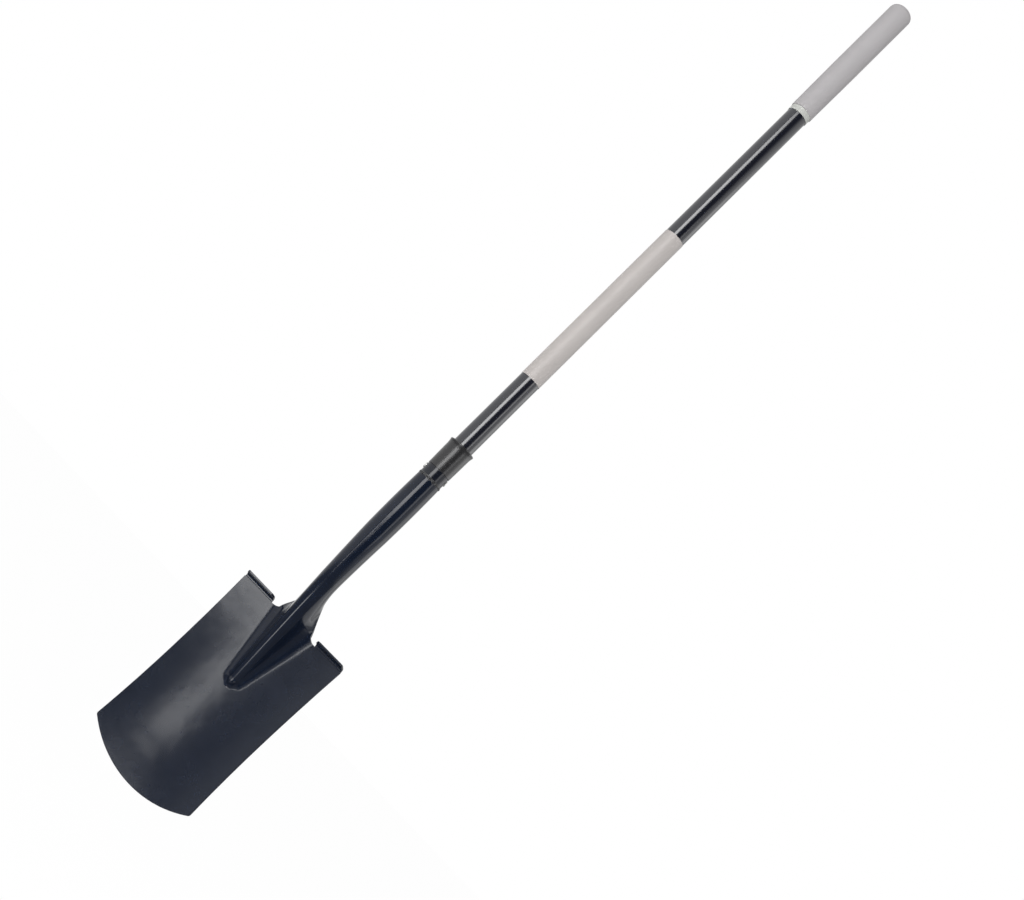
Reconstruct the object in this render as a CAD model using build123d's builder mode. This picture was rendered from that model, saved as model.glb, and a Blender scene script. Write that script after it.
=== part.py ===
from build123d import *
import os
from math import atan2, cos, degrees, hypot, radians, sin, sqrt, tan

os.makedirs("parts", exist_ok=True)

# A long-handled digging spade, in millimetres. The shaft runs along Z with the blade at the bottom,
# X is across the blade and the working face looks towards -Y. Heights are measured up the shaft
# from the middle of the cutting edge. The origin is the middle of the hand grip's round part.

# Blade plate, a dished sheet that leans back upwards from the cutting edge
sheet = 2.2
plate_height = 289.5
edge_width = 188.0
waist_width = 183.0
waist_height = 128.5
shoulder_width = 192.0
edge_bulge = 30.0
edge_corner_radius = 4.0
plate_lean = 5.6
plate_setback = 29.0
dish_radius = 705.0

# Frog, the hollow ridge that carries the socket down into the plate
frog_length = 114.0
frog_height = 35.0
frog_nose_height = 5.5
frog_nose_length = 18.0
frog_nose_round = 0.7
frog_half_width = 15.5
frog_nose_half_width = 6.5
frog_flare = 15.0
frog_nose_flare = 10.5
frog_flank_heading = 76.0
frog_lead = 9.0
band_half_width = 32.0
band_lap = 2.5
band_proud = 0.1

# Treads, turned forward from the top edge of the plate
tread_inner = 43.5
tread_lap = 6.0
tread_proud = 0.15
tread_bend_radius = 4.0
tread_turn = 76.0
tread_flange = 9.0
tread_outer_radius = 3.0
tread_inner_radius = 6.0
notch_radius = 12.0
notch_sink = 1.0

# Neck and rolled socket, with an open seam at the back
neck_length = 162.0
neck_waist = 64.0
neck_half_width = 14.9
neck_back = 27.0
wing_rise = 46.0
wing_half_width = 17.0
roll_start = 4.0
roll_end = 80.0
seam_reach = 40.0
seam_open = 40.0
seam_shut = 104.0
seam_gap = 1.8
socket_length = 102.0
socket_radius = 18.4
socket_belly = 0.6
station_spacing = 12.0
nose_spacing = 4.5
loft_spare = 36.0

# Ferrule tube welded to the socket's rim, and its cross rivet
ferrule_length = 45.0
ferrule_wall = 2.2
weld_depth = 1.6
weld_half_width = 2.4
weld_crown = 0.35
rivet_rise = 11.5
rivet_turn = 17.0
rivet_radius = 2.5
rivet_head_radius = 4.4
rivet_head_height = 1.6
rivet_gap = 0.1

# Moulded collar over the ferrule's mouth
collar_rise = 17.5
collar_length = 46.0
collar_wall = 1.05
collar_lip_swell = 1.2
collar_lip_drop = 5.4
collar_face = 1.2
collar_cove = 5.0
collar_edge = 0.6
collar_gap = 0.1

# Hollow shaft, its core at the socket and its end plug
shaft_radius = 16.0
shaft_wall = 3.5
shaft_seat = 3.0
shaft_gap = 0.15
core_length = 170.0
core_gap = 0.1
plug_length = 28.0
plug_head = 3.0

# Film sleeve on the shaft
sleeve_rise = 131.5
sleeve_length = 288.0
sleeve_film = 0.3
sleeve_gap = 0.1

# Hand grip: a stiff liner with a soft cover
liner_rise = 256.0
liner_wall = 0.6
liner_rim = 0.25
liner_rim_height = 2.4
liner_show = 9.0
grip_length = 221.0
grip_radius = 18.5
grip_foot_radius = 17.9
grip_taper_length = 90.0
grip_end_radius = 9.0
grip_end_wall = 5.0
grip_gap = 0.1

# Heights that follow from the sizes above
frog_foot = plate_height - frog_length
socket_foot = plate_height + neck_length
weld_height = socket_foot + socket_length
rivet_height = weld_height + rivet_rise
ferrule_top = weld_height + ferrule_length
collar_foot = weld_height + collar_rise
collar_top = collar_foot + collar_length
shaft_foot = socket_foot + shaft_seat
sleeve_foot = collar_top + sleeve_rise
liner_foot = sleeve_foot + sleeve_length + liner_rise
grip_foot = liner_foot + liner_show
grip_top = grip_foot + grip_length
shaft_top = grip_top - grip_end_wall - plug_head
round_foot = grip_foot + grip_taper_length
round_top = grip_top - grip_end_radius
hand_height = (round_foot + round_top) / 2

# Radii that follow from the sizes above
bore_radius = shaft_radius + shaft_gap
ferrule_radius = bore_radius + ferrule_wall
collar_radius = ferrule_radius + collar_gap + collar_wall
liner_bore = shaft_radius + shaft_gap
liner_radius = liner_bore + liner_wall

tip = (0, 0, -hand_height)
front_view = Plane(origin=tip, x_dir=(1, 0, 0), z_dir=(0, -1, 0))
rivet_way = Vector(cos(radians(rivet_turn)), sin(radians(rivet_turn)), 0)
rivet_view = Plane(origin=(0, 0, rivet_height - hand_height), x_dir=(0, 0, 1), z_dir=rivet_way)
weld_profile = [
    (ferrule_radius - weld_depth, 0),
    (ferrule_radius + weld_depth, -2 * weld_half_width),
    (ferrule_radius + weld_depth, 2 * weld_half_width),
]


def level(height):
    """The horizontal plane at a height above the cutting edge."""
    return Plane.XY.offset(height - hand_height)


def mix(low, high, share):
    return low + (high - low) * share


def ease(start, end, value):
    """Rises smoothly from 0 at the start to 1 at the end."""
    share = min(max((value - start) / (end - start), 0.0), 1.0)
    return share * share * (3 - 2 * share)


def plate_face(x, height):
    """Depth of the plate's working face, which leans back upwards and is dished across."""
    lean = plate_setback - (plate_height - height) * tan(radians(plate_lean))
    return lean - dish_radius + sqrt(dish_radius**2 - x**2)


def plate_point(x, height):
    """A point of the working face in a level section, with the heading of the section there."""
    return (x, plate_face(x, height), -degrees(atan2(x, sqrt(dish_radius**2 - x**2))))


def frog_section(height):
    """Crest, flank, knee and margin of the band that holds the frog, in the plate's height."""
    share = min(max((height - frog_foot) / frog_length, 0.0), 1.0)
    nose = ease(frog_foot, frog_foot + frog_nose_length, height)
    width = mix(frog_nose_round, 1.0, nose)
    rise = mix(frog_nose_height, frog_height, share) * nose
    flank_x = mix(frog_nose_half_width, frog_half_width, share) * width
    knee_x = flank_x + mix(frog_nose_flare, frog_flare, share) * width
    foot = plate_point(flank_x, height)
    crest = (0.0, plate_face(0, height) - rise, 0.0)
    flank = (flank_x, foot[1] - rise / 2, mix(foot[2], frog_flank_heading, rise / (rise + flank_x / 2)))
    return [crest, flank, plate_point(knee_x, height), plate_point(band_half_width, height)]


def tube_point(half_width, middle, back, angle):
    """A point on the rounded back of the neck, at an angle past its widest line."""
    x = half_width * cos(radians(angle))
    depth = (back - middle) * sin(radians(angle))
    slope = atan2((back - middle) * cos(radians(angle)), -half_width * sin(radians(angle)))
    return (x, middle + depth, degrees(slope))


def seam_angle(radius):
    """How far round the back the rolled sheet reaches when the seam is shut."""
    return 90.0 - degrees(atan2(seam_gap / 2, radius))


def neck_section(height):
    """Half section of the neck, whose wings roll up into a tube above the plate."""
    rise = height - plate_height
    share = min(rise / neck_length, 1.0)
    top_crest, top_flank, top_knee, top_margin = frog_section(plate_height)
    crest = (0.0, mix(-socket_radius, top_crest[1], (1 - share) ** 2.2), 0.0)
    above_waist = max(rise - neck_waist, 0.0) / (neck_length - neck_waist)
    below_waist = max(1 - rise / neck_waist, 0.0)
    flank_x = (
        neck_half_width
        + (frog_half_width - neck_half_width) * below_waist**2
        + (socket_radius - neck_half_width) * above_waist**1.2
    )
    middle = top_flank[1] * (1 - share) ** 2
    back = mix(socket_radius, neck_back, (1 - share) ** 2)
    flank = (flank_x, middle, mix(top_flank[2], 90.0, ease(0, roll_end, rise)))
    spread = rise / wing_rise
    spread_margin_x = mix(top_margin[0], wing_half_width, spread)
    spread_knee_x = mix(top_knee[0], wing_half_width - band_lap, spread)
    reach = mix(seam_reach, seam_angle(socket_radius), ease(seam_open, seam_shut, rise))
    rolled = ease(roll_start, roll_end, rise)
    knee_pair = (plate_point(spread_knee_x, height), tube_point(flank_x, middle, back, reach / 2))
    margin_pair = (plate_point(spread_margin_x, height), tube_point(flank_x, middle, back, reach))
    knee_x, knee_y, _ = [mix(a, b, rolled) for a, b in zip(*knee_pair)]
    margin_x, margin_y, _ = [mix(a, b, rolled) for a, b in zip(*margin_pair)]
    strip = degrees(atan2(margin_y - knee_y, margin_x - knee_x))
    turn = rolled * reach / 4
    return [crest, flank, (knee_x, knee_y, strip - turn), (margin_x, margin_y, strip + turn)]


def socket_section(height):
    """Half section of the round socket, which swells a little between its foot and its rim."""
    share = min((height - socket_foot) / socket_length, 1.0)
    radius = socket_radius + socket_belly * 4 * share * (1 - share)
    reach = seam_angle(radius)
    crest = (0.0, -radius, 0.0)
    return [crest] + [tube_point(radius, 0.0, radius, angle) for angle in (0.0, reach / 2, reach)]


def head_section(height):
    if height <= plate_height:
        return frog_section(height)
    if height <= socket_foot:
        return neck_section(height)
    return socket_section(height)


def shift(point, distance):
    """Moves a point square to its heading, towards the back of the sheet."""
    x, y, heading = point
    return (x - distance * sin(radians(heading)), y + distance * cos(radians(heading)), heading)


def bend(start, end):
    """One smooth bend of the sheet between two points, each with its heading."""
    chord = hypot(end[0] - start[0], end[1] - start[1])
    handle = chord / (3 * cos(radians(end[2] - start[2]) / 4) ** 2)
    lead = (start[0] + handle * cos(radians(start[2])), start[1] + handle * sin(radians(start[2])))
    trail = (end[0] - handle * cos(radians(end[2])), end[1] - handle * sin(radians(end[2])))
    Bezier(start[:2], lead, trail, end[:2])


def half_outline(points):
    """Draws the right half of the sheet's closed section in the current line builder."""
    front = [shift(point, -band_proud) for point in points]
    rear = [shift(point, sheet + band_proud) for point in points]
    for row in (front, rear):
        for start, end in zip(row, row[1:]):
            bend(start, end)
    Line(front[-1][:2], rear[-1][:2])


band_foot = frog_foot - frog_lead
loft_foot = frog_foot - frog_lead - loft_spare
loft_top = weld_height + loft_spare
zones = [
    (frog_foot - frog_lead, station_spacing),
    (frog_foot + frog_nose_length * 1.5, nose_spacing),
    (plate_height, station_spacing),
    (socket_foot, station_spacing),
    (weld_height, station_spacing),
    (loft_top, station_spacing),
]
stations = [loft_foot]
for zone_top, spacing in zones:
    zone_foot = stations[-1]
    steps = round((zone_top - zone_foot) / spacing)
    stations += [mix(zone_foot, zone_top, step / steps) for step in range(1, steps + 1)]

# The notch beside each wing is rounded from the plate's top edge into the wing's margin
wing_slope = atan2(wing_rise, band_half_width - wing_half_width)
notch_run = notch_radius * tan(wing_slope / 2)
notch_foot = (band_half_width + notch_run, plate_height)
notch_top = (
    band_half_width - notch_run * cos(wing_slope) - notch_sink * sin(wing_slope),
    plate_height + notch_run * sin(wing_slope) - notch_sink * cos(wing_slope),
)
notch_lap = (notch_top[0] - band_lap, notch_top[1])

# Plane of a tread's section: it holds the dish's axis and stands at the tread's inner end
lean_up = Vector(0, sin(radians(plate_lean)), cos(radians(plate_lean)))
lean_back = Vector(0, cos(radians(plate_lean)), -sin(radians(plate_lean)))
dish_centre = Vector(0, plate_setback, plate_height - hand_height) - lean_back * dish_radius
inner_turn = degrees(atan2(tread_inner, dish_radius))
outer_turn = degrees(atan2(shoulder_width / 2, dish_radius))
tread_back = lean_back * cos(radians(inner_turn)) + Vector(1, 0, 0) * sin(radians(inner_turn))
tread_view = Plane(origin=dish_centre, x_dir=tread_back, z_dir=tread_back.cross(lean_up))

with BuildPart() as tread:
    # The right tread is a strip swept round the dish's axis: it laps the plate and turns forward
    with BuildSketch(tread_view):
        with BuildLine():
            near = dish_radius - tread_proud
            far = dish_radius + sheet * cos(radians(plate_lean)) + tread_proud
            near_lap = Line((near, -tread_lap), (near, 0))
            near_bend = JernArc(near_lap @ 1, near_lap % 1, tread_bend_radius, tread_turn)
            near_flange = Line(near_bend @ 1, near_bend @ 1 + (near_bend % 1) * tread_flange)
            far_lap = Line((far, -tread_lap), (far, 0))
            far_bend = JernArc(far_lap @ 1, far_lap % 1, tread_bend_radius + far - near, tread_turn)
            far_flange = Line(far_bend @ 1, far_bend @ 1 + (far_bend % 1) * tread_flange)
            Line(near_flange @ 1, far_flange @ 1)
            Line(near_lap @ 0, far_lap @ 0)
        make_face()
    revolve(axis=Axis(dish_centre, -lean_up), revolution_arc=outer_turn - inner_turn)
    short_edges = [edge for edge in tread.edges() if abs(edge.length - (far - near)) < 0.001]
    inner_corner, outer_corner = ShapeList(short_edges).sort_by(Axis.Y)[:2].sort_by(Axis.X)
    fillet(inner_corner, radius=tread_inner_radius)
    fillet(outer_corner, radius=tread_outer_radius)

with BuildPart() as band:
    # The frog's band, the neck and the socket are one loft of the sheet's level sections, which has
    # spare length to trim at both ends
    for height in stations:
        with BuildSketch(level(height)):
            with BuildLine():
                half_outline(head_section(height))
                mirror(about=Plane.YZ)
            make_face()
    loft()
    split(bisect_by=level(weld_height), keep=Keep.BOTTOM)
    split(bisect_by=level(band_foot), keep=Keep.TOP)

with BuildPart() as head:
    # The plate is a dished slab cut to its outline, with a slot where the frog's band goes in
    with BuildSketch(level(-edge_bulge)):
        with BuildLine():
            spread = (-shoulder_width, 0, shoulder_width)
            front = ThreePointArc(*[plate_point(x, -edge_bulge)[:2] for x in spread])
            rear = ThreePointArc(*[shift(plate_point(x, -edge_bulge), sheet)[:2] for x in spread])
            Line(front @ 0, rear @ 0)
            Line(front @ 1, rear @ 1)
        make_face()
    extrude(amount=plate_height + 3 * edge_bulge, dir=lean_up)
    with BuildSketch(front_view) as plate_outline:
        with BuildLine():
            edge_end = (edge_width / 2, edge_bulge)
            waist = (waist_width / 2, waist_height)
            shoulder = (shoulder_width / 2, plate_height)
            slot_foot = (band_half_width - band_lap, band_foot + band_lap)
            slot_top = (slot_foot[0], plate_height)
            TangentArc((0, 0), edge_end, tangent=(1, 0))
            TangentArc(waist, edge_end, tangent=(0, -1))
            TangentArc(waist, shoulder, tangent=(0, 1))
            Line(shoulder, notch_foot)
            TangentArc(notch_foot, notch_top, tangent=(-1, 0))
            Polyline(notch_top, notch_lap, slot_top, slot_foot, (0, slot_foot[1]))
            mirror(about=Plane.YZ)
        make_face()
        corners = [corner for corner in plate_outline.vertices() if abs(corner.Y - edge_bulge) < 0.01]
        fillet(corners, radius=edge_corner_radius)
    extrude(amount=dish_radius, both=True, mode=Mode.INTERSECT)
    add(band.part)
    add(tread.part)
    add(mirror(tread.part, about=Plane.YZ, mode=Mode.PRIVATE))
    # Half of the weld's groove, in the socket's rim
    with BuildSketch(front_view) as weld_groove:
        with Locations((0, weld_height)):
            Polygon(*weld_profile, align=None)
    revolve(axis=Axis.Z, mode=Mode.SUBTRACT)
head.part.label = "head"
export_step(head.part, "parts/head.step")

with BuildPart() as socket_ferrule:
    with BuildSketch(level(weld_height)):
        Circle(ferrule_radius)
        Circle(bore_radius, mode=Mode.SUBTRACT)
    extrude(amount=ferrule_length)
    with BuildSketch(front_view):
        with Locations((0, weld_height)):
            Polygon(*weld_profile, align=None)
    revolve(axis=Axis.Z, mode=Mode.SUBTRACT)
    with BuildSketch(rivet_view):
        Circle(rivet_radius + rivet_gap)
    extrude(amount=2 * ferrule_radius, both=True, mode=Mode.SUBTRACT)
socket_ferrule.part.label = "socket_ferrule"
export_step(socket_ferrule.part, "parts/socket_ferrule.step")

with BuildPart() as weld_bead:
    with BuildSketch(front_view):
        with BuildLine():
            low = (ferrule_radius, weld_height - weld_half_width)
            high = (ferrule_radius, weld_height + weld_half_width)
            root = (ferrule_radius - weld_depth, weld_height)
            ThreePointArc(low, (ferrule_radius + weld_crown, weld_height), high)
            Polyline(high, root, low)
        make_face()
    revolve(axis=Axis.Z)
weld_bead.part.label = "weld_bead"
export_step(weld_bead.part, "parts/weld_bead.step")

with BuildPart() as rivet:
    with BuildSketch(rivet_view):
        Circle(rivet_head_radius)
    extrude(amount=ferrule_radius + rivet_head_height, both=True)
    fillet(rivet.edges().filter_by(GeomType.CIRCLE), radius=rivet_head_height * 0.9)
    with BuildSketch(level(rivet_height - 2 * rivet_head_radius)):
        Circle(ferrule_radius)
    extrude(amount=4 * rivet_head_radius, mode=Mode.SUBTRACT)
    with BuildSketch(rivet_view):
        Circle(rivet_radius)
    extrude(amount=ferrule_radius, both=True)
rivet.part.label = "rivet"
export_step(rivet.part, "parts/rivet.step")

with BuildPart() as socket_collar:
    with BuildSketch(front_view):
        with BuildLine():
            bore = shaft_radius + collar_gap
            mouth = ferrule_radius + collar_gap
            lip_radius = collar_radius + collar_lip_swell
            lip_height = collar_top - collar_lip_drop
            cove_foot = (collar_radius, lip_height - collar_cove)
            cove_top = (lip_radius, lip_height)
            inner_top = (bore + collar_edge + collar_face, collar_top)
            Polyline(
                inner_top,
                (bore + collar_edge, collar_top),
                (bore, collar_top - collar_edge),
                (bore, ferrule_top),
                (mouth, ferrule_top),
                (mouth, collar_foot),
                (collar_radius - collar_edge, collar_foot),
                (collar_radius, collar_foot + collar_edge),
                cove_foot,
            )
            TangentArc(cove_foot, cove_top, tangent=(0, 1))
            TangentArc(cove_top, inner_top, tangent=(0, 1))
        make_face()
    revolve(axis=Axis.Z)
socket_collar.part.label = "socket_collar"
export_step(socket_collar.part, "parts/socket_collar.step")

with BuildPart() as shaft_tube:
    with BuildSketch(level(shaft_foot)):
        Circle(shaft_radius)
        Circle(shaft_radius - shaft_wall, mode=Mode.SUBTRACT)
    extrude(amount=shaft_top - shaft_foot)
    with BuildSketch(rivet_view):
        Circle(rivet_radius + rivet_gap)
    extrude(amount=2 * shaft_radius, both=True, mode=Mode.SUBTRACT)
shaft_tube.part.label = "shaft_tube"
export_step(shaft_tube.part, "parts/shaft_tube.step")

with BuildPart() as shaft_core:
    with BuildSketch(level(shaft_foot)):
        Circle(shaft_radius - shaft_wall - core_gap)
    extrude(amount=core_length)
    chamfer(shaft_core.edges().filter_by(GeomType.CIRCLE), length=1.0)
    with BuildSketch(rivet_view):
        Circle(rivet_radius + rivet_gap)
    extrude(amount=2 * shaft_radius, both=True, mode=Mode.SUBTRACT)
shaft_core.part.label = "shaft_core"
export_step(shaft_core.part, "parts/shaft_core.step")

with BuildPart() as label_sleeve:
    with BuildSketch(level(sleeve_foot)):
        Circle(shaft_radius + sleeve_gap + sleeve_film)
        Circle(shaft_radius + sleeve_gap, mode=Mode.SUBTRACT)
    extrude(amount=sleeve_length)
label_sleeve.part.label = "label_sleeve"
export_step(label_sleeve.part, "parts/label_sleeve.step")

with BuildPart() as grip_liner:
    with BuildSketch(front_view):
        with BuildLine():
            rim_top = (liner_radius, liner_foot + liner_rim_height)
            rim_side = (liner_radius + liner_rim, liner_foot + liner_rim_height / 2)
            Polyline(
                rim_top, (liner_radius, shaft_top), (liner_bore, shaft_top), (liner_bore, liner_foot),
                (liner_radius, liner_foot),
            )
            ThreePointArc((liner_radius, liner_foot), rim_side, rim_top)
        make_face()
    revolve(axis=Axis.Z)
grip_liner.part.label = "grip_liner"
export_step(grip_liner.part, "parts/grip_liner.step")

with BuildPart() as grip:
    with BuildSketch(front_view):
        with BuildLine():
            grip_bore = liner_radius + grip_gap
            bore_end = grip_top - grip_end_wall
            foot_edge = grip_foot_radius - grip_bore
            foot_side = (grip_foot_radius, grip_foot + foot_edge)
            Line((0, grip_top), (0, bore_end))
            Polyline((0, bore_end), (grip_bore, bore_end), (grip_bore, grip_foot))
            RadiusArc((grip_bore, grip_foot), foot_side, -foot_edge)
            Polyline(foot_side, (grip_radius, round_foot), (grip_radius, round_top))
            RadiusArc((grip_radius, round_top), (grip_radius - grip_end_radius, grip_top), -grip_end_radius)
            Line((grip_radius - grip_end_radius, grip_top), (0, grip_top))
        make_face()
    revolve(axis=Axis.Z)
grip.part.label = "grip"
export_step(grip.part, "parts/grip.step")

with BuildPart() as end_plug:
    with BuildSketch(level(shaft_top - plug_length)):
        Circle(shaft_radius - shaft_wall - core_gap)
    extrude(amount=plug_length)
    with BuildSketch(level(shaft_top)):
        Circle(shaft_radius)
    extrude(amount=plug_head)
end_plug.part.label = "end_plug"
export_step(end_plug.part, "parts/end_plug.step")
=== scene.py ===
import math

import bpy
from mathutils import Matrix, Vector, noise


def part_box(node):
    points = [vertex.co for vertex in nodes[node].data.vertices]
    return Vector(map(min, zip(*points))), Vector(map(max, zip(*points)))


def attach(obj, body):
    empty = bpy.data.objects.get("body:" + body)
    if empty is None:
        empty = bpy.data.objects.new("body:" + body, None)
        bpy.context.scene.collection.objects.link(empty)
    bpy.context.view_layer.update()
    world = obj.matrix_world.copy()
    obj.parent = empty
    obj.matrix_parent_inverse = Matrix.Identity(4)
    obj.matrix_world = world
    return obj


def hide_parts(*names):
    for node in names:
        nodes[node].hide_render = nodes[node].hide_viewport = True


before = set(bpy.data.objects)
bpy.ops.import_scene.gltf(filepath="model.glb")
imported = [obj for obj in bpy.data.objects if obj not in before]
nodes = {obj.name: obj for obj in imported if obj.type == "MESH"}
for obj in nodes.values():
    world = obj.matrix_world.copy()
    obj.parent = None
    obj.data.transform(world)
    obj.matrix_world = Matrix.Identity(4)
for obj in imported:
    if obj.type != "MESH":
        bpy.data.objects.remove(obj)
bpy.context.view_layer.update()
scene = bpy.context.scene
scene.view_settings.view_transform = "Standard"
tip_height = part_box("head")[0][2]

# Sockets of a Mix node that hold colours: the share with the two colours, and the result
colour_inputs, colour_output = (0, 6, 7), 2


class Value:
    """A socket of a material, so that its maths reads as sums and products."""

    def __init__(self, graph, socket):
        self.graph = graph
        self.socket = socket

    def apply(self, operation, *values):
        node = self.graph.add("ShaderNodeMath", {"operation": operation})
        for slot, value in zip(node.inputs, values):
            self.graph.join(slot, value)
        return Value(self.graph, node.outputs[0])

    def __add__(self, other):
        return self.apply("ADD", self, other)

    __radd__ = __add__

    def __mul__(self, other):
        return self.apply("MULTIPLY", self, other)

    __rmul__ = __mul__

    def __sub__(self, other):
        return self.apply("SUBTRACT", self, other)

    def __rsub__(self, other):
        return self.apply("SUBTRACT", other, self)

    def most(self, other):
        return self.apply("MAXIMUM", self, other)


class Graph:
    """A node tree with one way to add a node and one way to fill a socket."""

    def __init__(self, owner):
        owner.use_nodes = True
        self.tree = owner.node_tree

    def join(self, slot, value):
        if isinstance(value, Value):
            value = value.socket
        if isinstance(value, bpy.types.NodeSocket):
            self.tree.links.new(value, slot)
        elif slot.type == "RGBA" and len(value) == 3:
            slot.default_value = (*value, 1.0)
        else:
            slot.default_value = value

    def add(self, kind, settings=None, **inputs):
        node = self.tree.nodes.new(kind)
        for name, value in (settings or {}).items():
            setattr(node, name, value)
        for name, value in inputs.items():
            self.join(node.inputs[name], value)
        return node

    def axes(self, place):
        parts = self.add("ShaderNodeSeparateXYZ", Vector=place)
        return [Value(self, output) for output in parts.outputs]

    def step(self, value, start, end):
        """Rises smoothly from 0 where the value is at the start to 1 at the end."""
        node = self.add("ShaderNodeMapRange", {"interpolation_type": "SMOOTHSTEP"}, Value=value)
        node.inputs["From Min"].default_value = start
        node.inputs["From Max"].default_value = end
        return Value(self, node.outputs["Result"])

    def rays(self, *kinds):
        """1 for rays of the given kinds, otherwise 0."""
        path = self.add("ShaderNodeLightPath")
        seen = Value(self, path.outputs[kinds[0]])
        for kind in kinds[1:]:
            seen = seen.most(Value(self, path.outputs[kind]))
        return seen


class Finish(Graph):
    """One procedural finish. Places are metres in the shared frame."""

    def __init__(self, name):
        self.material = bpy.data.materials.new(name)
        super().__init__(self.material)
        self.shader = self.tree.nodes["Principled BSDF"]
        self.place = self.add("ShaderNodeTexCoord").outputs["Object"]

    def stretched(self, *scale):
        return self.add("ShaderNodeMapping", Vector=self.place, Scale=scale).outputs[0]

    def noise(self, scale, detail, rough, place=None):
        """Clouds from 0 to 1: how many to a metre, in how many octaves, how strong the fine ones."""
        place = place or self.place
        node = self.add("ShaderNodeTexNoise", Vector=place, Scale=scale, Detail=detail, Roughness=rough)
        return Value(self, node.outputs["Fac"])

    def blend(self, share, low, high, kind="MIX"):
        node = self.add("ShaderNodeMix", {"data_type": "RGBA", "blend_type": kind})
        for slot, value in zip(colour_inputs, (share, low, high)):
            self.join(node.inputs[slot], value)
        return node.outputs[colour_output]

    def relief(self, height, depth):
        """Bumps of the given depth in metres."""
        node = self.add("ShaderNodeBump", Height=height, Distance=depth, Strength=1.0)
        self.join(self.shader.inputs["Normal"], node.outputs[0])

    def set(self, **sockets):
        for name, value in sockets.items():
            self.join(self.shader.inputs[name.replace("_", " ")], value)

    def cover(self, *pieces):
        for piece in pieces:
            piece.data.materials.clear()
            piece.data.materials.append(self.material)


def blade_paint():
    """Satin blue-black paint with a faint mottle and orange peel, on slightly wavy pressed sheet."""
    paint = Finish("blade_paint")
    mottle = paint.noise(26.0, 4.0, 0.6)
    cloud = paint.noise(9.0, 2.0, 0.5)
    waves = paint.noise(22.0, 2.0, 0.5)
    peel = paint.noise(420.0, 2.0, 0.5)
    paint.set(
        Base_Color=paint.blend(mottle, (0.003, 0.006, 0.014), (0.007, 0.011, 0.023)),
        Roughness=0.10 + 0.05 * mottle + 0.03 * cloud,
    )
    paint.shader.inputs["Specular IOR Level"].default_value = 0.4
    paint.relief(waves + 0.01 * peel, 0.0003)
    return paint


def ferrule_paint():
    paint = Finish("ferrule_paint")
    mottle = paint.noise(60.0, 3.0, 0.6)
    grain = paint.noise(1600.0, 2.0, 0.6)
    paint.set(
        Base_Color=paint.blend(mottle, (0.003, 0.005, 0.010), (0.007, 0.009, 0.016)),
        Roughness=0.17 + 0.06 * mottle,
    )
    paint.relief(grain, 0.000001)
    return paint


def weld_metal():
    """Rough weld under thin black paint, bare on its high spots."""
    paint = Finish("weld_metal")
    crust = paint.noise(420.0, 4.0, 0.7)
    bare = paint.step(crust, 0.5, 0.75)
    paint.set(
        Base_Color=paint.blend(bare, (0.012, 0.012, 0.014), (0.20, 0.21, 0.21)),
        Roughness=0.20 + 0.25 * crust,
    )
    paint.relief(crust, 0.0004)
    return paint


def rivet_metal():
    metal = Finish("rivet_metal")
    dents = metal.noise(500.0, 2.0, 0.5)
    metal.set(
        Base_Color=metal.blend(dents, (0.55, 0.55, 0.54), (0.80, 0.80, 0.78)),
        Roughness=0.28 + 0.2 * dents,
        Metallic=1.0,
    )
    metal.relief(dents, 0.0002)
    return metal


def collar_plastic():
    plastic = Finish("collar_plastic")
    grain = plastic.noise(1800.0, 2.0, 0.6)
    smear = plastic.noise(70.0, 3.0, 0.6)
    plastic.set(
        Base_Color=plastic.blend(smear, (0.009, 0.009, 0.010), (0.016, 0.016, 0.018)),
        Roughness=0.26 + 0.08 * smear,
    )
    plastic.shader.inputs["Specular IOR Level"].default_value = 0.7
    plastic.relief(grain, 0.000001)
    return plastic


def shaft_composite():
    """Pultruded tube: glossy resin with fine strands along it."""
    resin = Finish("shaft_composite")
    strands = resin.noise(1.0, 2.0, 0.5, resin.stretched(900.0, 900.0, 7.0))
    smear = resin.noise(30.0, 3.0, 0.6)
    resin.set(
        Base_Color=resin.blend(strands, (0.003, 0.004, 0.009), (0.007, 0.008, 0.016)),
        Roughness=0.13 + 0.07 * smear + 0.04 * strands,
    )
    resin.shader.inputs["Specular IOR Level"].default_value = 1.0
    resin.relief(strands, 0.000001)
    return resin


def core_wood():
    wood = Finish("core_wood")
    grain = wood.noise(1.0, 4.0, 0.6, wood.stretched(260.0, 260.0, 9.0))
    wood.set(
        Base_Color=wood.blend(grain, (0.42, 0.27, 0.14), (0.66, 0.48, 0.30)),
        Roughness=0.6 + 0.2 * grain,
    )
    wood.relief(grain, 0.0002)
    return wood


def sleeve_film():
    film = Finish("sleeve_film")
    weave = film.noise(900.0, 2.0, 0.6)
    haze = film.noise(14.0, 3.0, 0.5)
    film.set(
        Base_Color=film.blend(haze, (0.43, 0.40, 0.385), (0.48, 0.45, 0.435)),
        Roughness=0.42 + 0.12 * haze,
    )
    film.relief(weave, 0.00001)
    return film


def liner_plastic():
    plastic = Finish("liner_plastic")
    grain = plastic.noise(300.0, 2.0, 0.6)
    plastic.set(
        Base_Color=plastic.blend(grain, (0.47, 0.48, 0.455), (0.51, 0.52, 0.49)),
        Roughness=0.45 + 0.1 * grain,
    )
    plastic.relief(grain, 0.000006)
    return plastic


def grip_rubber():
    rubber = Finish("grip_rubber")
    grain = rubber.noise(2200.0, 2.0, 0.7)
    bloom = rubber.noise(22.0, 4.0, 0.6)
    rubber.set(
        Base_Color=rubber.blend(bloom, (0.385, 0.37, 0.378), (0.43, 0.415, 0.423)),
        Roughness=0.62 + 0.12 * bloom,
    )
    rubber.relief(grain, 0.00004)
    return rubber


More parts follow.
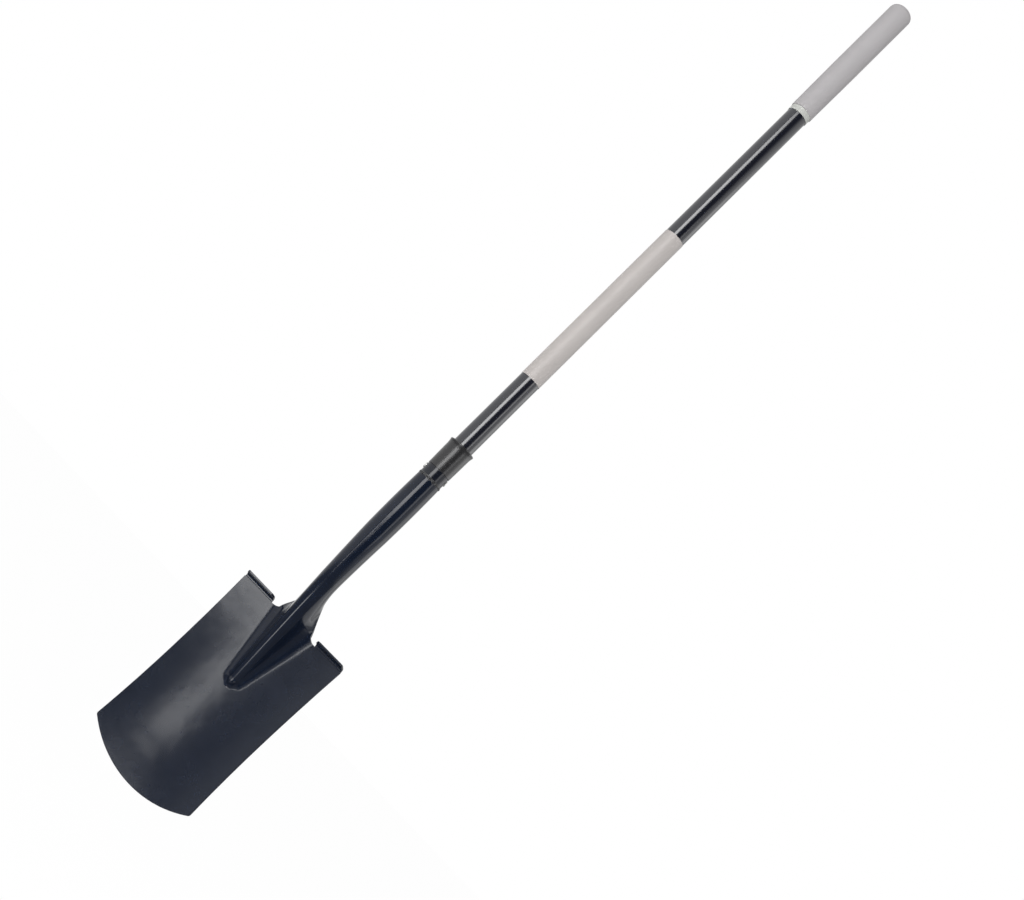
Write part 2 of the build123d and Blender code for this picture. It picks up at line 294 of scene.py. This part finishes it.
def plug_plastic():
    plastic = Finish("plug_plastic")
    grain = plastic.noise(900.0, 2.0, 0.6)
    plastic.set(
        Base_Color=plastic.blend(grain, (0.02, 0.02, 0.02), (0.035, 0.035, 0.035)),
        Roughness=0.5 + 0.1 * grain,
    )
    plastic.relief(grain, 0.00005)
    return plastic


# Sizes of the head and its fittings in millimetres, as the solids have them, and angles in degrees.
# Heights are taken from the cutting edge, and a rise from the plate's top edge
metre = 1000.0
sheet = 2.2
plate_height, plate_lean, plate_setback, dish_radius = 289.5, 5.6, 29.0, 705.0
edge_half_width, waist_half_width, shoulder_half_width = 94.0, 91.5, 96.0
edge_bulge, waist_height = 30.0, 128.5
frog_length, frog_height, frog_half_width, frog_flare, frog_flank_heading = 114.0, 35.0, 15.5, 15.0, 76.0
nose_height, nose_length, nose_round, nose_half_width, nose_flare = 5.5, 18.0, 0.7, 6.5, 10.5
neck_length, neck_waist, neck_half_width, neck_back = 162.0, 64.0, 14.9, 27.0
crest_power, flank_power = 2.2, 1.2
band_half_width, band_lap, wing_rise, wing_half_width = 32.0, 2.5, 46.0, 17.0
notch_foot, notch_radius, notch_rise = 40.1, 13.56, 8.0
roll_start, roll_end = 4.0, 80.0
seam_reach, seam_open, seam_shut, seam_gap = 40.0, 40.0, 104.0, 1.8
socket_length, socket_radius, socket_belly = 102.0, 18.4, 0.6
frog_foot = plate_height - frog_length
socket_foot = plate_height + neck_length
weld_height = socket_foot + socket_length
ferrule_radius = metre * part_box("socket_ferrule")[1][0]
ferrule_top = weld_height + 45.0
collar_bore, collar_foot, collar_top = 16.1, weld_height + 17.5, weld_height + 63.5

# The skins lie off the sheet by the cover, and the rim of the back one sinks into the plate
cover, sink = 0.25, -0.08
# Front: a rounder nose with a knob on it, wider valleys beside the frog, and a hem along the outer edge
front_trim, hem_depth = 1.0, 0.1
nose_lead, nose_tail, nose_least, nose_knob, knob_start, knob_end = 5.0, 7.0, 0.2, 3.0, 3.0, 12.0
valley_spare, valley_start, valley_full, valley_end = 13.5, 4.0, 22.0, 16.0
valley_top = frog_half_width + frog_flare + valley_spare
wing_blend, notch_slant, tread_clear, tread_taper = 24.0, 0.2, 9.0, 45.0
edge_margin, side_margin, margin_start, margin_end = 2.2, 0.8, 36.0, 46.0
# Back: it starts below the frog and ends in the neck
back_foot, back_lead, back_reach, back_taper, back_trim = frog_foot - 30.0, 9.0, 58.0, 26.0, 8.0
# Spacing of the meshes: rows are closer at the nose and the notches, and wider up the neck
fine_zones = [(frog_foot - 8.0, frog_foot + 24.0), (plate_height - 11.0, plate_height + 8.0)]
fine_pitch, plate_pitch, neck_pitch, neck_start = 0.5, 1.5, 3.0, plate_height + 60.0
bend_count, crest_count, outer_count, ring_count = 48, 16, 32, 180
sharp_angle = 40.0


def mix(low, high, share):
    return low + (high - low) * share


def portion(start, end, value):
    """How far a value has come from the start to the end, from 0 to 1."""
    return min(max((value - start) / (end - start), 0.0), 1.0)


def ease(start, end, value):
    share = portion(start, end, value)
    return share * share * (3 - 2 * share)


def angle(x, y):
    return math.degrees(math.atan2(y, x))


def plate_point(x, height):
    """A point of the plate's working face with the heading of the level section there."""
    lean = plate_setback - (plate_height - height) * math.tan(math.radians(plate_lean))
    reach = math.sqrt(dish_radius**2 - x**2)
    return (x, lean - dish_radius + reach, -angle(reach, x))


def frog_section(height, rounded=False):
    """Crest, flank, knee and rim of the frog. The rounded nose reaches lower and has a knob."""
    share = portion(frog_foot, plate_height, height)
    nose = ease(frog_foot, frog_foot + nose_length, height)
    width = mix(nose_round, 1.0, nose)
    knob = 0.0
    if rounded:
        nose = ease(frog_foot - nose_lead, frog_foot + nose_tail, height)
        run = portion(frog_foot - nose_lead, frog_foot + nose_length, height)
        width = max(nose_least, math.sqrt(1 - (1 - run) ** 2))
        knob = nose_knob * nose * (1 - ease(frog_foot + knob_start, frog_foot + knob_end, height))
    rise = mix(nose_height, frog_height, share) * nose + knob
    flank_x = mix(nose_half_width, frog_half_width, share) * width
    knee_x = flank_x + mix(nose_flare, frog_flare, share) * width
    foot = plate_point(flank_x, height)
    crest = (0.0, plate_point(0, height)[1] - rise, 0.0)
    heading = mix(foot[2], frog_flank_heading, rise / (rise + flank_x / 2))
    flank = (flank_x, foot[1] - rise / 2, heading)
    return [crest, flank, plate_point(knee_x, height), plate_point(band_half_width, height)]


def tube_point(half_width, middle, back, turn):
    """A point on the rounded back of the neck, at an angle past its widest line, with its heading."""
    sine, cosine = math.sin(math.radians(turn)), math.cos(math.radians(turn))
    depth = back - middle
    return (half_width * cosine, middle + depth * sine, angle(-half_width * sine, depth * cosine))


def seam_angle(radius):
    """How far round the back the rolled sheet reaches when the seam is shut."""
    return 90.0 - angle(radius, seam_gap / 2)


def neck_section(height):
    """Crest, flank, knee and margin of the neck, whose wings roll up into a tube above the plate."""
    rise = height - plate_height
    share = min(rise / neck_length, 1.0)
    top_crest, top_flank, top_knee, top_margin = frog_section(plate_height)
    crest = (0.0, mix(-socket_radius, top_crest[1], (1 - share) ** crest_power), 0.0)
    above = max(rise - neck_waist, 0.0) / (neck_length - neck_waist)
    below = max(1 - rise / neck_waist, 0.0)
    flank_x = neck_half_width + (frog_half_width - neck_half_width) * below**2
    flank_x += (socket_radius - neck_half_width) * above**flank_power
    middle = top_flank[1] * (1 - share) ** 2
    back = mix(socket_radius, neck_back, (1 - share) ** 2)
    flank = (flank_x, middle, mix(top_flank[2], 90.0, ease(0, roll_end, rise)))
    spread = rise / wing_rise
    reach = mix(seam_reach, seam_angle(socket_radius), ease(seam_open, seam_shut, rise))
    rolled = ease(roll_start, roll_end, rise)
    flat = [
        plate_point(mix(top_knee[0], wing_half_width - band_lap, spread), height),
        plate_point(mix(top_margin[0], wing_half_width, spread), height),
    ]
    tube = [tube_point(flank_x, middle, back, turn) for turn in (reach / 2, reach)]
    knee, margin = [[mix(a, b, rolled) for a, b in zip(*pair)] for pair in zip(flat, tube)]
    strip = angle(margin[0] - knee[0], margin[1] - knee[1])
    turn = rolled * reach / 4
    return [crest, flank, (knee[0], knee[1], strip - turn), (margin[0], margin[1], strip + turn)]


def socket_section(height):
    """Crest, flank, knee and margin of the round socket, which swells a little at its middle."""
    share = min((height - socket_foot) / socket_length, 1.0)
    radius = socket_radius + socket_belly * 4 * share * (1 - share)
    reach = seam_angle(radius)
    crest = (0.0, -radius, 0.0)
    return [crest] + [tube_point(radius, 0.0, radius, turn) for turn in (0.0, reach / 2, reach)]


def shift(point, distance):
    """Moves a point square to its heading, towards the back of the sheet."""
    x, y, heading = point
    turn = math.radians(heading)
    return (x - distance * math.sin(turn), y + distance * math.cos(turn), heading)


def bend(start, end, soft=0.0):
    """Points of one smooth bend of the sheet, with headings, without the first. A soft one ends flat."""
    chord = math.hypot(end[0] - start[0], end[1] - start[1])
    handle = chord / (3 * math.cos(math.radians(end[2] - start[2]) / 4) ** 2)
    turns = [math.radians(point[2]) for point in (start, end)]
    ways = [Vector((math.cos(turn), math.sin(turn))) for turn in turns]
    first, last = Vector(start[:2]), Vector(end[:2])
    near, far = handle, handle
    if soft:
        crossing = ways[0].x * ways[1].y - ways[0].y * ways[1].x
        run = ((last.x - first.x) * ways[1].y - (last.y - first.y) * ways[1].x) / crossing
        meeting = first + ways[0] * run
        near = mix(handle, run, soft)
        far = mix(handle, (last - meeting).length / 2, soft)
    lead, trail = first + ways[0] * near, last - ways[1] * far
    points = []
    for step in range(1, bend_count + 1):
        t = step / bend_count
        place = (
            first * (1 - t) ** 3
            + lead * 3 * t * (1 - t) ** 2
            + trail * 3 * t * t * (1 - t)
            + last * t**3
        )
        way = (lead - first) * (1 - t) ** 2 + (trail - lead) * 2 * t * (1 - t) + (last - trail) * t * t
        points.append((place.x, place.y, angle(way.x, way.y)))
    return points


def along(points, count):
    """The first point of a line of points and then as many more, evenly spaced along it."""
    runs = [0.0]
    for a, b in zip(points, points[1:]):
        runs.append(runs[-1] + math.hypot(b[0] - a[0], b[1] - a[1]))
    even = [points[0]]
    j = 0
    for step in range(1, count + 1):
        run = runs[-1] * step / count
        while j < len(runs) - 2 and runs[j + 1] < run:
            j += 1
        share = (run - runs[j]) / (runs[j + 1] - runs[j])
        even.append(tuple(mix(a, b, share) for a, b in zip(points[j], points[j + 1])))
    return even


def cut(points, limit):
    """The line of points up to where it passes the limit sideways."""
    kept = [points[0]]
    for a, b in zip(points, points[1:]):
        if b[0] > limit:
            share = (limit - a[0]) / (b[0] - a[0])
            return kept + [tuple(mix(p, q, share) for p, q in zip(a, b))]
        kept.append(b)
    return kept


def plate_limit(height):
    """How far sideways the skin reaches on the plate: a little short of its outline."""
    round_radius = (edge_half_width**2 + edge_bulge**2) / (2 * edge_bulge)
    end_x, end_rise = edge_half_width, edge_bulge - waist_height
    if height > waist_height:
        end_x, end_rise = shoulder_half_width, plate_height - waist_height
    side_x = waist_half_width + (end_x - waist_half_width) * ((height - waist_height) / end_rise) ** 2
    edge_x = math.sqrt(2 * round_radius * height - height**2)
    return min(side_x, edge_x) - mix(edge_margin, side_margin, ease(margin_start, margin_end, height))


def skin_row(height, side):
    """Half a level row of a skin, from the crest outwards. In front its valley is the wider one."""
    front = side == "front"
    rise = height - plate_height
    raised = 1.0 if front else ease(back_foot, frog_foot - back_lead, height)
    limit = None
    if rise <= 0.0:
        crest, flank, knee, rim = frog_section(height, front)
        limit = mix(back_reach, notch_foot, ease(-back_taper, 0.0, rise))
        valley_x = knee[0]
        if front:
            notch_x = notch_foot - notch_slant * rise
            limit = mix(plate_limit(height), notch_x, ease(-tread_taper, -tread_clear, rise))
            valley_x += valley_spare * portion(frog_foot, plate_height, height)
        parts = [flank, plate_point(valley_x, height), plate_point(shoulder_half_width, height)]
    elif height <= socket_foot:
        crest, flank, knee, rim = neck_section(height)
        parts = [flank, rim] if front else [flank, knee, rim]
        if front and rise < wing_blend:
            limit = rim[0]
            if rise < notch_rise:
                limit = max(limit, notch_foot - math.sqrt(notch_radius**2 - (notch_radius - rise) ** 2))
            flat = plate_point(valley_top, height)
            parts[1] = tuple(mix(a, b, ease(0.0, wing_blend, rise)) for a, b in zip(flat, rim))
    else:
        crest, flank, knee, rim = socket_section(height)
        parts = [flank, rim]
    soft = 0.0
    if front:
        soft = ease(frog_foot + valley_start, frog_foot + valley_full, height)
        soft *= 1 - ease(0.0, valley_end, rise)
    outer = [flank]
    for start, end in zip(parts, parts[1:]):
        outer += bend(start, end, soft if start is flank else 0.0)
    if limit:
        outer = cut(outer, limit)
    row = []
    for point in along([crest] + bend(crest, flank), crest_count) + along(outer, outer_count)[1:]:
        held = 1.0 if front or rise > 0.0 else 1.0 - ease(valley_x, back_reach, point[0])
        gap = mix(sink, cover, raised * held)
        row.append(shift(point, -gap if front else sheet + gap))
    if front:
        x, y, heading = row[-1]
        hem = y
        if rise < notch_rise:
            hem = plate_point(x, height)[1]
        elif rise < wing_blend:
            hem = rim[1]
        row.append((x, max(hem, y) + hem_depth, heading))
    return row


def smooth_piece(name, points, faces):
    mesh = bpy.data.meshes.new(name)
    mesh.from_pydata(points, [], faces)
    mesh.polygons.foreach_set("use_smooth", [True] * len(faces))
    mesh.set_sharp_from_angle(angle=math.radians(sharp_angle))
    piece = bpy.data.objects.new(name, mesh)
    scene.collection.objects.link(piece)
    return piece


def head_skin(side, foot, top):
    """A fine smooth mesh over the head's sheet, on its front or in its hollow back."""
    heights = [foot]
    while heights[-1] < top:
        pitch = plate_pitch if heights[-1] < neck_start else neck_pitch
        if any(low < heights[-1] < high for low, high in fine_zones):
            pitch = fine_pitch
        heights.append(min(heights[-1] + pitch, top))
    points = []
    for height in heights:
        row = skin_row(height, side)
        whole = [(-x, y) for x, y, _ in reversed(row[1:])] + [(x, y) for x, y, _ in row]
        points += [(x / metre, y / metre, tip_height + height / metre) for x, y in whole]
    width = len(points) // len(heights)
    faces = []
    for i in range(len(heights) - 1):
        for j in range(width - 1):
            corner = i * width + j
            face = (corner, corner + 1, corner + width + 1, corner + width)
            faces.append(face if side == "front" else face[::-1])
    skin = smooth_piece("head_skin_" + side, points, faces)
    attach(skin, "root")
    return skin


def turned(name, profile, lump=None):
    """A closed ring round the shaft from a profile of radii and heights, swollen by a lump function."""
    points = []
    for i in range(ring_count):
        way = math.tau * i / ring_count
        for radius, height in profile:
            radius += lump(way, height) if lump else 0.0
            spot = (radius * math.cos(way) / metre, radius * math.sin(way) / metre)
            points.append((*spot, tip_height + height / metre))
    faces = []
    width = len(profile)
    for i in range(ring_count):
        here, there = i * width, (i + 1) % ring_count * width
        for j in range(width):
            k = (j + 1) % width
            faces.append((here + j, there + j, there + k, here + k))
    return smooth_piece(name, points, faces)


def collar():
    """The collar: it widens a little from its foot, and its mouth towards the hand end is flared."""
    inside, outside = ferrule_radius + 0.1, ferrule_radius + 1.15
    taper, foot_round, bore_round = 0.55, 0.3, 0.6
    flare_length, flare_width, flare_steps = 10.5, 1.1, 12
    foot_rises, flare_lead, lip_height = (0.5, 1.0), 1.0, 1.8
    mouth = collar_top - lip_height
    # The round of the lip: how far out from the body's outside and how far down from the top
    lip = [(1.15, 1.2), (0.9, 0.5), (0.4, 0.1), (-0.3, 0.0)]
    profile = [(outside - taper - foot_round, collar_foot)]
    profile += [(outside - taper, collar_foot + rise) for rise in foot_rises]
    profile.append((outside, mouth - flare_length - flare_lead))
    for step in range(flare_steps + 1):
        share = step / flare_steps
        profile.append((outside + flare_width * share**3, mouth - flare_length * (1 - share)))
    profile += [(outside + out, collar_top - down) for out, down in lip]
    profile += [(collar_bore + bore_round, collar_top), (collar_bore, collar_top - bore_round)]
    profile += [(collar_bore, ferrule_top), (inside, ferrule_top), (inside, collar_foot)]
    ring = turned("collar_flared", profile)
    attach(ring, "root")
    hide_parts("socket_collar")
    return ring


def weld():
    """The weld bead, laid in lumps by hand."""
    reach, half_rows = 2.6, 8
    swell, lumpy, lump_length = 0.5, 1.5, 2.3
    rim_radius, root_radius, root_reach = ferrule_radius + 0.05, ferrule_radius - 1.0, 0.5

    def lump(way, height):
        spot = Vector((math.cos(way), math.sin(way), height / ferrule_radius))
        spot = spot * ferrule_radius / lump_length
        share = 1 - ((height - weld_height) / reach) ** 2
        return max(share, 0.0) * (swell + lumpy * noise.noise(spot))

    levels = [weld_height - reach + step * reach / half_rows for step in range(2 * half_rows + 1)]
    profile = [(rim_radius, height) for height in levels]
    profile += [(root_radius, weld_height + root_reach), (root_radius, weld_height - root_reach)]
    bead = turned("weld_lumped", profile, lump)
    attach(bead, "root")
    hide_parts("weld_bead")
    return bead


finishes = {
    "head": blade_paint,
    "socket_ferrule": ferrule_paint,
    "weld_bead": weld_metal,
    "rivet": rivet_metal,
    "socket_collar": collar_plastic,
    "shaft_tube": shaft_composite,
    "shaft_core": core_wood,
    "label_sleeve": sleeve_film,
    "grip_liner": liner_plastic,
    "grip": grip_rubber,
    "end_plug": plug_plastic,
}
pieces = {
    "head": [
        head_skin("front", front_trim, weld_height - front_trim),
        head_skin("back", back_foot, socket_foot - back_trim),
    ],
    "socket_collar": [collar()],
    "weld_bead": [weld()],
}
for node_name, make in finishes.items():
    make().cover(nodes[node_name], *pieces.get(node_name, []))


def camera():
    """The photograph's view: the shaft runs up to the right and its grip end is farther away."""
    # In pixels: the focal length, the picture's width and the aim's place off the picture's middle
    focal, picture_width, aside, ahead = 1398.90, 1024.0, 36.45, 1.33
    sensor_width, distance, aim_height = 36.0, 1.9045, 0.661
    turn, tilt, roll = math.radians(16.03), math.radians(8.341), math.radians(-0.039)
    # The shaft's direction in the picture
    shaft_right, shaft_up = 0.710357, 0.703842
    aim = Vector((0, 0, tip_height + aim_height))
    away = Vector((math.sin(turn) * math.cos(tilt), -math.cos(turn) * math.cos(tilt), -math.sin(tilt)))
    forward = -away
    upward = (Vector((0, 0, 1)) - forward * forward.z).normalized()
    sideways = forward.cross(upward)
    lean = math.atan(aside * math.tan(tilt) / focal) + roll
    lengthwise = upward * math.cos(lean) + sideways * math.sin(lean)
    across = forward.cross(lengthwise)
    right = shaft_right * lengthwise + shaft_up * across
    up = shaft_up * lengthwise - shaft_right * across
    place = aim + away * distance + (across * aside + lengthwise * ahead) * (distance / focal)
    data = bpy.data.cameras.new("photo_camera")
    data.sensor_width = sensor_width
    data.lens = focal / picture_width * sensor_width
    data.clip_start = 0.05
    eye = bpy.data.objects.new("photo_camera", data)
    scene.collection.objects.link(eye)
    eye.matrix_world = Matrix.Translation(place) @ Matrix((right, up, away)).transposed().to_4x4()
    scene.camera = eye


def softbox(name, turn, distance, size, power, height):
    """An upright rectangular lamp that faces the shaft: its turn in degrees from the front towards +X."""
    turn = math.radians(turn)
    toward = Vector((math.sin(turn), -math.cos(turn), 0.0))
    data = bpy.data.lights.new(name, "AREA")
    data.shape = "RECTANGLE"
    data.size, data.size_y = size
    data.energy = power
    lamp = bpy.data.objects.new(name, data)
    scene.collection.objects.link(lamp)
    place = Vector((0, 0, tip_height + height)) + toward * distance
    side = Vector((0, 0, 1)).cross(toward).normalized()
    up = toward.cross(side)
    lamp.matrix_world = Matrix.Translation(place) @ Matrix((side, up, toward)).transposed().to_4x4()


def surround():
    """White to the eye. In mirror images it is pale at both sides and dim behind the camera."""
    # Degrees from the front towards +X, each from where a change starts to where it is complete
    left_pale, right_pale, left_glow = (-20.0, -31.0), (45.0, 95.0), (14.0, -4.0)
    dim_level, glow_level, fill_level = 0.04, 0.24, 0.45
    world = bpy.data.worlds.new("studio")
    scene.world = world
    sky = Graph(world)
    x, y, _ = sky.axes(sky.add("ShaderNodeTexCoord").outputs["Generated"])
    turn = x.apply("ARCTAN2", x, y * -1.0) * math.degrees(1.0)
    pale = sky.step(turn, *left_pale).most(sky.step(turn, *right_pale))
    dim = dim_level + glow_level * sky.step(turn, *left_glow)
    seen = sky.rays("Is Camera Ray", "Is Transmission Ray")
    mirrored = sky.rays("Is Glossy Ray") * dim.most(pale)
    fill = (1.0 - sky.rays("Is Camera Ray", "Is Transmission Ray", "Is Glossy Ray")) * fill_level
    back = sky.tree.nodes["Background"]
    sky.join(back.inputs["Color"], (1.0, 1.0, 1.0))
    sky.join(back.inputs["Strength"], seen + mirrored + fill)


def floor_paper():
    """White paper that hardly shows a shade, and is darker in mirror images."""
    glow_share, glow_level = 0.92, 1.04
    paper = Finish("floor_paper")
    fibre = paper.noise(30.0, 3.0, 0.6)
    white = paper.blend(fibre, (0.86, 0.86, 0.86), (0.9, 0.9, 0.9))
    tint = paper.blend(paper.rays("Is Glossy Ray"), (1.0, 1.0, 1.0), (0.5, 0.5, 0.5))
    paper.set(Base_Color=paper.blend(1.0, white, tint, "MULTIPLY"), Roughness=0.9)
    paper.shader.inputs["Specular IOR Level"].default_value = 0.0
    glow = paper.add("ShaderNodeEmission", Color=(1.0, 1.0, 1.0), Strength=glow_level)
    both = paper.add("ShaderNodeMixShader")
    paper.join(both.inputs[0], paper.rays("Is Camera Ray") * glow_share)
    paper.join(both.inputs[1], paper.shader.outputs[0])
    paper.join(both.inputs[2], glow.outputs[0])
    ending = next(n for n in paper.tree.nodes if n.type == "OUTPUT_MATERIAL")
    paper.join(ending.inputs["Surface"], both.outputs[0])
    return paper


def studio():
    """A pale floor well below the held tool, the surround, and lamps at heights from the blade's tip."""
    surround()
    reach, drop = 9.0, 0.6
    low = tip_height - drop
    corners = [(-reach, -reach, low), (reach, -reach, low), (reach, reach, low), (-reach, reach, low)]
    ground = bpy.data.meshes.new("floor")
    ground.from_pydata(corners, [], [(0, 1, 2, 3)])
    floor = bpy.data.objects.new("floor", ground)
    scene.collection.objects.link(floor)
    floor_paper().cover(floor)

    softbox("key_box", -6.5, 2.3, (1.02, 1.87), 36.0, 1.47)
    softbox("low_strip", -15.2, 2.3, (0.12, 0.45), 1.05, 0.32)
    softbox("frog_strip", -12.0, 1.6, (0.4, 0.42), 3.2, -0.27)
    softbox("nose_lamp", -14.0, 0.9, (0.34, 0.2), 3.2, -0.46)
    softbox("right_strip", 63.0, 2.3, (0.6, 1.5), 5.0, 1.1)
    softbox("right_panel", 122.0, 2.3, (1.4, 2.2), 11.0, 1.0)


camera()
studio()
